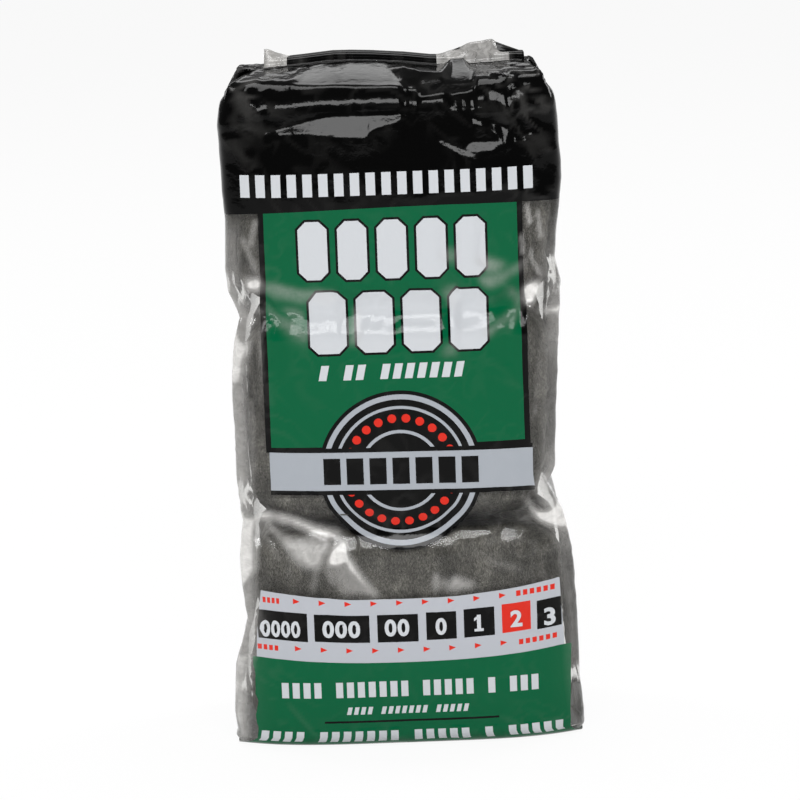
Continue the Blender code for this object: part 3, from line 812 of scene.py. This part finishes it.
def makeWool():
    material, tree = newMaterial("steelWool")
    place = node(tree, "TexCoord").outputs["Object"]
    stretched = node(tree, "Mapping", i0=place, Scale=(1.0, 1.0, 0.45)).outputs[0]
    twist = node(tree, "TexNoise", Vector=place, Scale=60.0, Detail=2.0)
    bent = node(tree, "VectorMath", {"operation": "SCALE"}, i0=twist.outputs["Color"], Scale=0.006).outputs[0]
    bent = node(tree, "VectorMath", {"operation": "ADD"}, i0=stretched, i1=bent).outputs[0]
    clumps = node(tree, "TexNoise", Vector=bent, Scale=210.0, Detail=5.0, Roughness=0.65).outputs[0]
    fibre = node(tree, "TexNoise", Vector=bent, Scale=2600.0, Detail=3.0, Roughness=0.7,
                 Distortion=0.5).outputs[0]
    cloud = node(tree, "TexNoise", Vector=place, Scale=38.0, Detail=3.0).outputs[0]
    mix = calc(tree, "MULTIPLY_ADD", clumps, 0.36, calc(tree, "MULTIPLY", fibre, 0.56))
    mix = calc(tree, "MULTIPLY_ADD", cloud, 0.22, mix)
    tone = node(tree, "ValToRGB", Fac=mix)
    tone.color_ramp.elements[0].position = 0.42
    tone.color_ramp.elements[0].color = linear(29, 28, 26)
    tone.color_ramp.elements[1].position = 0.78
    tone.color_ramp.elements[1].color = linear(164, 161, 154)
    middleTone = tone.color_ramp.elements.new(0.585)
    middleTone.color = linear(93, 91, 86)
    bump = node(tree, "Bump", Strength=0.6, Distance=0.0006, Height=mix)
    shader = node(tree, "BsdfPrincipled", Base_Color=tone.outputs[0], Metallic=0.35, Roughness=0.5,
                  Normal=bump.outputs[0])
    node(tree, "OutputMaterial", Surface=shader.outputs[0])
    return material


woolMaterial = makeWool()
for tier, tierName in enumerate(("bottom", "middle", "top")):
    for deep in range(4):
        addPad(f"pad_{tierName}_{deep + 1}", tier * 4 + deep + 1, 1 if (tier + deep + 1) % 2 else -1)
print("pads wound")

# what is printed on the film, in millimetres on it: across from the middle of the front, and up from the base
inks = {"black": linear(4, 4, 4), "green": linear(0, 93, 57), "silver": linear(165, 170, 177),
        "pale": linear(184, 187, 194), "white": linear(203, 206, 210), "red": linear(216, 46, 32),
        # these two are no inks: the colour of the painted sheen on the film, and of its brightest painted
        # highlights
        "sheenPaint": linear(198, 196, 193), "sheen": linear(246, 244, 241)}
marks = {
    "header": {"from": 183.9, "to": 272.0, "tuck": (-41.0, 18.0), "corner": 44.0, "lean": -0.015,
               "sag": 0.00035, "sagTo": 60.0},
    "panel": {"left": -42.2, "right": 41.1, "spread": 0.006, "spreadFrom": 183.4, "top": 186.0,
              "bottom": 104.2, "border": 1.8, "outline": 0.8, "cutCorner": 2.6},
    "band": {"left": -43.4, "right": 44.0, "middle": 95.4, "half": 6.5, "rim": 1.5, "lean": 0.0147},
    "roundel": {"across": 0.0, "up": 95.4, "outline": 1.3, "rim": 25.9, "face": 24.2, "ringOut": 22.0,
                "ringIn": 21.0, "dotsAt": 17.9, "dot": 1.45, "dots": 24, "innerOut": 13.9, "innerIn": 12.8},
    "strip": {"left": -50.5, "right": 52.7, "leftLean": 0.10, "rightLean": -0.045, "leanFrom": 31.0,
              "bottom": 29.6, "top": 51.5, "sag": 0.0010, "topSag": 0.0006},
    "arrows": {"from": -37.6, "to": 33.6, "pitch": 8.62, "long": 2.3, "half": 0.95, "upper": 50.2,
               "lower": 33.9},
    "footer": {"left": -52.0, "right": 54.2, "top": 29.6, "lineFrom": 8.9, "lineTo": 9.6, "lineMiddle": 0.8,
               "lineHalf": 29.4, "overlap": 0.05, "ragged": 4.0, "raggedOut": 1.2},
}
# rows of plain blocks: ink, from, to, bottom, top, pitch, gap, slant, and the share of blocks left out
blockRows = {
    "bigUpper": ("white", -32.8, 32.2, 160.2, 179.8, 13.0, 3.4, 0.0, 0.0),
    "bigLower": ("white", -30.0, 31.8, 135.6, 155.6, 15.45, 3.4, 0.0, 0.0),
    "slanted": ("white", -26.25, 26.65, 126.6, 131.7, 4.069, 1.5, 0.22, 0.16),
    "header": ("white", -50.5, 47.7, 188.0, 195.4, 5.168, 2.1, 0.0, 0.0),
    "band": ("black", -26.6, 26.9, 90.9, 99.9, 7.643, 2.0, 0.0, 0.0),
    "footerUpper": ("white", -43.25, 44.45, 17.8, 23.2, 3.654, 1.3, 0.0, 0.14),
    "footerMiddle": ("white", -21.15, 22.65, 11.8, 14.4, 2.305, 0.9, 0.24, 0.14),
    "footerLower": ("white", -50.7, 52.4, 1.8, 6.0, 3.965, 1.4, 0.0, 0.12),
    "upperLeft": ("red", -47.85, -41.95, 48.9, 50.8, 1.475, 0.5, 0.0, 0.0),
    "upperRight": ("red", 36.7, 50.5, 49.3, 51.2, 2.3, 0.8, 0.0, 0.0),
    "lowerLeft": ("red", -50.1, -42.9, 32.5, 34.3, 1.8, 0.6, 0.0, 0.0),
    "lowerRight": ("red", 37.2, 50.8, 32.5, 34.3, 2.267, 0.8, 0.0, 0.0),
}
# sizes, each with its box, its ink, and the place of its figures: left, right, bottom, top
scale = (("0000", -49.3, -33.1, 36.4, 46.3, "black", -48.7, -35.6, 38.3, 44.2),
         ("000", -30.8, -12.3, 36.7, 46.2, "black", -28.2, -15.5, 38.5, 44.5),
         ("00", -9.7, 4.0, 36.7, 46.2, "black", -7.3, 1.0, 38.7, 44.7),
         ("0", 6.7, 16.8, 37.0, 46.5, "black", 9.8, 13.5, 38.6, 44.5),
         ("1", 19.3, 29.6, 37.0, 46.8, "black", 22.7, 25.9, 39.0, 44.7),
         ("2", 32.1, 41.8, 37.2, 47.1, "red", 34.9, 38.9, 39.4, 45.2),
         ("3", 43.9, 52.0, 36.6, 46.5, "black", 46.2, 50.0, 38.5, 44.5))


def between(tree, value, low, high):
    return calc(tree, "COMPARE", value, (low + high) / 2, (high - low) / 2)


def both(tree, *masks):
    result = masks[0]
    for mask in masks[1:]:
        result = calc(tree, "MULTIPLY", result, mask)
    return result


def either(tree, *masks):
    result = masks[0]
    for mask in masks[1:]:
        result = calc(tree, "MAXIMUM", result, mask)
    return result


def blocks(tree, u, v, row, grow=0.0, cut=0.0):   # grown by this much all round, with their corners cut off
    ink, left, right, bottom, top, pitch, gap, slant, missing = row
    if slant:
        u = calc(tree, "MULTIPLY_ADD", v, -slant, calc(tree, "ADD", u, slant * (bottom + top) / 2))
    cell = calc(tree, "DIVIDE", calc(tree, "SUBTRACT", u, left), pitch)
    fromMiddle = calc(tree, "ABSOLUTE", calc(tree, "SUBTRACT", calc(tree, "FRACT", cell), 0.5))
    aside = calc(tree, "MULTIPLY", fromMiddle, pitch)
    mask = both(tree, calc(tree, "LESS_THAN", aside, (pitch - gap) / 2 + grow),
                between(tree, v, bottom - grow, top + grow), between(tree, u, left - 0.01, right + 0.01))
    if cut:
        aloft = calc(tree, "ABSOLUTE", calc(tree, "SUBTRACT", v, (bottom + top) / 2))
        reach = (pitch - gap + top - bottom) / 2 + grow * 1.41 - cut
        mask = both(tree, mask, calc(tree, "LESS_THAN", calc(tree, "ADD", aside, aloft), reach))
    if missing:
        chance = node(tree, "TexWhiteNoise", {"noise_dimensions": "1D"}, W=calc(tree, "FLOOR", cell))
        mask = both(tree, mask, calc(tree, "GREATER_THAN", chance.outputs[0], missing))
    return mask


def headerMasks(tree, u, v):   # the black header, and the bare ends of the seal above it
    h = marks["header"]
    around = calc(tree, "ABSOLUTE", u)
    near = calc(tree, "MINIMUM", around, h["sagTo"])
    fall = calc(tree, "SUBTRACT", 1.0, calc(tree, "DIVIDE", around, 2 * quarterRound))
    leaned = calc(tree, "MULTIPLY_ADD", calc(tree, "MULTIPLY", u, fall), h["lean"], v)
    atHeader = calc(tree, "MULTIPLY_ADD", calc(tree, "MULTIPLY", near, near), h["sag"], leaned)
    seal = calc(tree, "GREATER_THAN", v, h["to"])
    inside = either(tree, between(tree, u, *h["tuck"]), calc(tree, "GREATER_THAN", u, h["corner"]))
    tucked = both(tree, seal, inside)
    header = either(tree, between(tree, atHeader, h["from"], h["to"]), tucked)
    return header, calc(tree, "SUBTRACT", seal, tucked)


def panelMasks(tree, u, v):
    p = marks["panel"]
    down = calc(tree, "SUBTRACT", p["spreadFrom"], v)
    wide = calc(tree, "MULTIPLY_ADD", down, p["spread"], (p["right"] - p["left"]) / 2)
    off = calc(tree, "ABSOLUTE", calc(tree, "SUBTRACT", u, (p["left"] + p["right"]) / 2))
    border = both(tree, calc(tree, "LESS_THAN", calc(tree, "SUBTRACT", off, wide), p["border"]),
                  between(tree, v, p["bottom"] - p["border"], p["top"]))
    panel = both(tree, calc(tree, "LESS_THAN", off, wide), between(tree, v, p["bottom"], p["top"]))
    return border, panel


def bandMasks(tree, u, atBand):
    b = marks["band"]
    wide = between(tree, u, b["left"], b["right"])
    rim = both(tree, wide, calc(tree, "COMPARE", atBand, b["middle"], b["half"] + b["rim"]))
    return rim, both(tree, wide, calc(tree, "COMPARE", atBand, b["middle"], b["half"]))


def roundelMasks(tree, u, v):   # outline, rim, face, rings and the round of dots
    r = marks["roundel"]
    du = calc(tree, "SUBTRACT", u, r["across"])
    dv = calc(tree, "SUBTRACT", v, r["up"])
    far = calc(tree, "SQRT", calc(tree, "MULTIPLY_ADD", du, du, calc(tree, "MULTIPLY", dv, dv)))
    discs = [calc(tree, "LESS_THAN", far, reach) for reach in (r["rim"] + r["outline"], r["rim"], r["face"])]
    rings = either(tree, between(tree, far, r["ringIn"], r["ringOut"]),
                   between(tree, far, r["innerIn"], r["innerOut"]))
    turns = calc(tree, "MULTIPLY", calc(tree, "ARCTAN2", dv, du), r["dots"] / (2 * math.pi))
    aside = calc(tree, "MULTIPLY", calc(tree, "SUBTRACT", calc(tree, "FRACT", turns), 0.5),
                 r["dotsAt"] * 2 * math.pi / r["dots"])
    out = calc(tree, "SUBTRACT", far, r["dotsAt"])
    away = calc(tree, "MULTIPLY_ADD", aside, aside, calc(tree, "MULTIPLY", out, out))
    return (*discs, rings, calc(tree, "LESS_THAN", away, r["dot"] ** 2))


def stripMask(tree, u, v, atStrip):
    s = marks["strip"]
    top = calc(tree, "MULTIPLY_ADD", calc(tree, "MULTIPLY", u, u), -s["topSag"], atStrip)
    up = calc(tree, "SUBTRACT", v, s["leanFrom"])
    fromLeft = calc(tree, "MULTIPLY_ADD", up, -s["leftLean"], u)
    fromRight = calc(tree, "MULTIPLY_ADD", up, -s["rightLean"], u)
    return both(tree, calc(tree, "GREATER_THAN", fromLeft, s["left"]),
                calc(tree, "LESS_THAN", fromRight, s["right"]),
                calc(tree, "GREATER_THAN", atStrip, s["bottom"]), calc(tree, "LESS_THAN", top, s["top"]))


def boxMask(tree, u, atStrip, wanted):   # the boxes of one ink behind the numbers
    places = [size[1:5] for size in scale if size[5] == wanted]
    return either(tree, *[both(tree, between(tree, u, left, right), between(tree, atStrip, bottom, top))
                          for left, right, bottom, top in places])


def arrowMask(tree, u, atStrip):
    a = marks["arrows"]
    cell = calc(tree, "FRACT", calc(tree, "DIVIDE", calc(tree, "SUBTRACT", u, a["from"]), a["pitch"]))
    along = calc(tree, "MULTIPLY", cell, a["pitch"])
    narrow = calc(tree, "MULTIPLY_ADD", along, -a["half"] / a["long"], a["half"])
    off = [calc(tree, "ABSOLUTE", calc(tree, "SUBTRACT", atStrip, a[row])) for row in ("upper", "lower")]
    rows = either(tree, *[calc(tree, "LESS_THAN", o, narrow) for o in off])
    return both(tree, rows, between(tree, u, a["from"], a["to"]))


def footerMasks(tree, uv, u, v, atStrip):
    f = marks["footer"]
    wander = node(tree, "TexNoise", Vector=uv, Scale=0.11, Detail=2.0).outputs[0]
    ragged = calc(tree, "MULTIPLY_ADD", wander, f["ragged"], f["left"] - f["raggedOut"])
    footer = both(tree, calc(tree, "GREATER_THAN", u, ragged), calc(tree, "LESS_THAN", u, f["right"]),
                  calc(tree, "LESS_THAN", atStrip, f["top"] + f["overlap"]))
    line = both(tree, calc(tree, "COMPARE", u, f["lineMiddle"], f["lineHalf"]),
                between(tree, v, f["lineFrom"], f["lineTo"]))
    return footer, line


def paintPrint(tree, uv):   # the print's colour, where the film is printed, and the bare ends of the seal
    split = node(tree, "SeparateXYZ", i0=uv)
    u, v = split.outputs[0], split.outputs[1]
    atStrip = calc(tree, "MULTIPLY_ADD", calc(tree, "MULTIPLY", u, u), -marks["strip"]["sag"], v)
    atBand = calc(tree, "MULTIPLY_ADD", u, marks["band"]["lean"], v)
    header, bare = headerMasks(tree, u, v)
    panelBorder, panel = panelMasks(tree, u, v)
    bandRim, band = bandMasks(tree, u, atBand)
    roundelRim, roundelPale, roundelFace, rings, dots = roundelMasks(tree, u, v)
    strip = stripMask(tree, u, v, atStrip)
    footer, footerLine = footerMasks(tree, uv, u, v, atStrip)

    def row(name, height, grow=0.0):
        cut = marks["panel"]["cutCorner"] if name.startswith("big") else 0.0
        return blocks(tree, u, height, blockRows[name], grow, cut), blockRows[name][0]

    # painted one over the other, on black
    layers = [(panel, "green")]
    for name in ("bigUpper", "bigLower"):
        layers += [(row(name, v, marks["panel"]["outline"])[0], "black"), row(name, v)]
    layers += [row("slanted", v), (header, "black"), row("header", v)]
    layers += [(roundelRim, "black"), (roundelPale, "silver"), (roundelFace, "black")]
    layers += [(rings, "silver"), (dots, "red"), (bandRim, "black"), (band, "silver"), row("band", atBand)]
    layers += [(strip, "pale")]
    layers += [row(name, atStrip) for name in ("upperLeft", "upperRight", "lowerLeft", "lowerRight")]
    layers += [(arrowMask(tree, u, atStrip), "red")]
    layers += [(boxMask(tree, u, atStrip, ink), ink) for ink in ("black", "red")]
    layers += [(footer, "green"), (footerLine, "black")]
    layers += [row(name, v) for name in ("footerUpper", "footerMiddle", "footerLower")]
    color = inks["black"]
    for mask, ink in layers:
        color = blend(tree, mask, color, inks[ink])

    onFront = both(tree, calc(tree, "COMPARE", u, 0.0, 70.0),
                   either(tree, panelBorder, bandRim, roundelRim, strip, footer))
    return color, either(tree, header, onFront), bare


def makeFilm():
    material, tree = newMaterial("printedFilm")
    uv = node(tree, "UVMap", {"uv_map": "print"}).outputs[0]
    uv = node(tree, "VectorMath", {"operation": "SCALE"}, i0=uv, Scale=1000.0).outputs[0]
    color, printed, bare = paintPrint(tree, uv)
    # painted sheen and highlights on the film's folds and corners, read from its points
    paintedSheen = node(tree, "Attribute", {"attribute_name": "paintedSheen"}).outputs["Fac"]
    streak = node(tree, "TexNoise", Vector=uv, Scale=0.35, Detail=5.0, Roughness=0.7,
                  Distortion=0.6).outputs[0]
    # painted highlight whiteness, broken into streaks: from the sheen on the film's points, and over the bare
    # seal ends
    white = either(tree, calc(tree, "MULTIPLY", paintedSheen, ramp(tree, streak, 0.3, 0.7, 0.75, 1.15)),
                   calc(tree, "MULTIPLY", bare, ramp(tree, streak, 0.35, 0.65, 0.4, 0.85)))
    crinkle = node(tree, "TexNoise", Vector=uv, Scale=0.30, Detail=3.0, Roughness=0.55,
                   Distortion=0.4).outputs[0]
    bump = node(tree, "Bump", Strength=0.12, Distance=0.0008, Height=crinkle).outputs[0]
    # the painted sheen's colour, brighter where the painted highlight is strongest; it lightens the print
    # under it
    sheenPaintTone = blend(tree, ramp(tree, paintedSheen, 0.72, 0.88), inks["sheenPaint"], inks["sheen"])
    color = blend(tree, calc(tree, "MULTIPLY", white, 0.5), color, sheenPaintTone)
    ink = node(tree, "BsdfPrincipled", Base_Color=color, Roughness=0.10, Normal=bump)
    ink.inputs["Specular IOR Level"].default_value = 0.12
    gloss = node(tree, "BsdfPrincipled", Base_Color=linear(240, 240, 240), Metallic=1.0, Roughness=0.10,
                 Normal=bump)
    clear = node(tree, "BsdfTransparent", Color=(0.94, 0.94, 0.93, 1.0))
    fresnel = node(tree, "Fresnel", IOR=1.32, Normal=bump).outputs[0]
    bareFilm = node(tree, "MixShader", i0=fresnel, i1=clear.outputs[0], i2=gloss.outputs[0])
    # the painted sheen also clouds the clear film with a pale diffuse layer
    sheenPaint = node(tree, "BsdfPrincipled", Base_Color=sheenPaintTone, Roughness=0.25, Normal=bump)
    paintedSheenShare = calc(tree, "MULTIPLY", white, 0.85)
    clearFilm = node(tree, "MixShader", i0=paintedSheenShare, i1=bareFilm.outputs[0], i2=sheenPaint.outputs[0])
    surface = node(tree, "MixShader", i0=printed, i1=clearFilm.outputs[0], i2=ink.outputs[0])
    node(tree, "OutputMaterial", Surface=surface.outputs[0])
    return material


film.data.materials.append(makeFilm())
print("film printed")


def addFlagAndFoot(mesh):   # the font's own 1 is a bare stroke
    bm = bmesh.new()
    bm.from_mesh(mesh)
    foot = bmesh.ops.create_grid(bm, x_segments=4, y_segments=1, size=1.0)["verts"]
    bmesh.ops.scale(bm, verts=foot, vec=(0.20, 0.06, 1.0))
    bmesh.ops.translate(bm, verts=foot, vec=(0.25, 0.03, 0.0))
    flag = bmesh.ops.create_grid(bm, x_segments=2, y_segments=1, size=1.0)["verts"]
    bmesh.ops.scale(bm, verts=flag, vec=(0.09, 0.065, 1.0))
    bmesh.ops.translate(bm, verts=flag, vec=(0.13, 0.60, 0.0))
    for vert in flag:
        vert.co.y += (vert.co.x - 0.18) * 0.7
    bm.to_mesh(mesh)
    bm.free()


def makeNumberInk():
    material, tree = newMaterial("numberInk")
    place = node(tree, "TexCoord").outputs["Object"]
    patch = node(tree, "TexNoise", Vector=place, Scale=900.0, Detail=3.0).outputs[0]
    tone = blend(tree, patch, linear(192, 195, 200), linear(214, 217, 221))
    bump = node(tree, "Bump", Strength=0.05, Distance=0.0002, Height=patch).outputs[0]
    shader = node(tree, "BsdfPrincipled", Base_Color=tone, Roughness=0.2, Normal=bump)
    node(tree, "OutputMaterial", Surface=shader.outputs[0])
    return material


figures = {"bolder": 0.036, "spacing": 1.12, "curveSteps": 4, "rise": 0.28}   # the rise is in mm


def addNumbers():
    bm = bmesh.new()
    for word, *box, left, right, bottom, top in scale:
        curve = bpy.data.curves.new("figures", "FONT")
        curve.body = word
        curve.offset = figures["bolder"]
        curve.space_character = figures["spacing"]
        curve.resolution_u = figures["curveSteps"]
        text = bpy.data.objects.new("figures", curve)
        mesh = bpy.data.meshes.new_from_object(text)
        bpy.data.objects.remove(text)
        if word == "1":
            addFlagAndFoot(mesh)
        xs = [vert.co.x for vert in mesh.vertices]
        ys = [vert.co.y for vert in mesh.vertices]
        for vert in mesh.vertices:
            u = left + (vert.co.x - min(xs)) / (max(xs) - min(xs)) * (right - left)
            v = bottom + (vert.co.y - min(ys)) / (max(ys) - min(ys)) * (top - bottom)
            vert.co = onFilm(u, v + marks["strip"]["sag"] * u * u, figures["rise"])
        bm.from_mesh(mesh)
        bpy.data.meshes.remove(mesh)
        bpy.data.curves.remove(curve)
    bmesh.ops.remove_doubles(bm, verts=bm.verts, dist=0.000001)
    mesh = bpy.data.meshes.new("scaleNumbers")
    bm.to_mesh(mesh)
    bm.free()
    mesh.materials.append(makeNumberInk())
    piece = bpy.data.objects.new("scaleNumbers", mesh)
    bpy.context.collection.objects.link(piece)
    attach(piece, "root")


addNumbers()
print("numbers set")

# the studio
floorSet = {"half": 9.0, "level": -0.0002, "white": 0.88, "shadow": 0.07}
lamps = (
    {"name": "keyLamp", "at": (-0.03, -1.32, 1.04), "wide": 1.12, "tall": 0.33, "power": 17.6},
    {"name": "overheadLamp", "at": (0.0, 0.20, 1.50), "wide": 0.9, "tall": 0.5, "power": 10.0},
    {"name": "roofLamp", "at": (-0.1, 1.45, 1.00), "wide": 0.9, "tall": 0.42, "power": 1.9},
    {"name": "leftLamp", "at": (-1.25, 0.75, 0.80), "wide": 0.6, "tall": 0.6, "power": 9.0},
    {"name": "rightLamp", "at": (1.25, 0.75, 0.80), "wide": 0.6, "tall": 0.6, "power": 9.0},
)


def addFloor(s):
    bm = bmesh.new()
    bmesh.ops.create_grid(bm, x_segments=4, y_segments=4, size=s["half"])
    bmesh.ops.translate(bm, verts=bm.verts, vec=(0, 0, cadBox[0].z + s["level"]))
    mesh = bpy.data.meshes.new("studioFloor")
    bm.to_mesh(mesh)
    bm.free()
    material, tree = newMaterial("floorWhite")
    light = node(tree, "LightPath")
    rays = ("Is Camera Ray", "Is Glossy Ray", "Is Transmission Ray")
    seen = either(tree, *[light.outputs[ray] for ray in rays])
    paint = node(tree, "BsdfDiffuse", Color=(s["white"],) * 3 + (1.0,))
    glow = node(tree, "Emission", Color=(1.0, 1.0, 1.0, 1.0), Strength=1.0)
    share = calc(tree, "MULTIPLY", seen, 1 - s["shadow"])
    mix = node(tree, "MixShader", i0=share, i1=paint.outputs[0], i2=glow.outputs[0])
    node(tree, "OutputMaterial", Surface=mix.outputs[0])
    mesh.materials.append(material)
    floor = bpy.data.objects.new("studioFloor", mesh)
    bpy.context.collection.objects.link(floor)


def addLamps():
    for s in lamps:
        data = bpy.data.lights.new(s["name"], "AREA")
        data.shape = "RECTANGLE"
        data.size, data.size_y, data.energy = s["wide"], s["tall"], s["power"]
        lamp = bpy.data.objects.new(s["name"], data)
        bpy.context.collection.objects.link(lamp)
        aim = Vector((0, 0, 0.11)) - Vector(s["at"])
        lamp.matrix_world = Matrix.Translation(s["at"]) @ aim.to_track_quat("-Z", "Y").to_matrix().to_4x4()


def addWorld():
    world = bpy.data.worlds.new("studioWorld")
    bpy.context.scene.world = world
    world.use_nodes = True
    tree = world.node_tree
    tree.nodes.clear()
    light = node(tree, "LightPath")
    seen = either(tree, light.outputs["Is Camera Ray"], light.outputs["Is Transmission Ray"])
    around = node(tree, "Background", Color=(1.0, 1.0, 1.0, 1.0), Strength=0.15)
    backdrop = node(tree, "Background", Color=(1.0, 1.0, 1.0, 1.0), Strength=1.0)
    mix = node(tree, "MixShader", i0=seen, i1=around.outputs[0], i2=backdrop.outputs[0])
    node(tree, "OutputWorld", Surface=mix.outputs[0])


addFloor(floorSet)
addLamps()
addWorld()
bpy.context.scene.view_settings.view_transform = "Standard"
print("studio set")
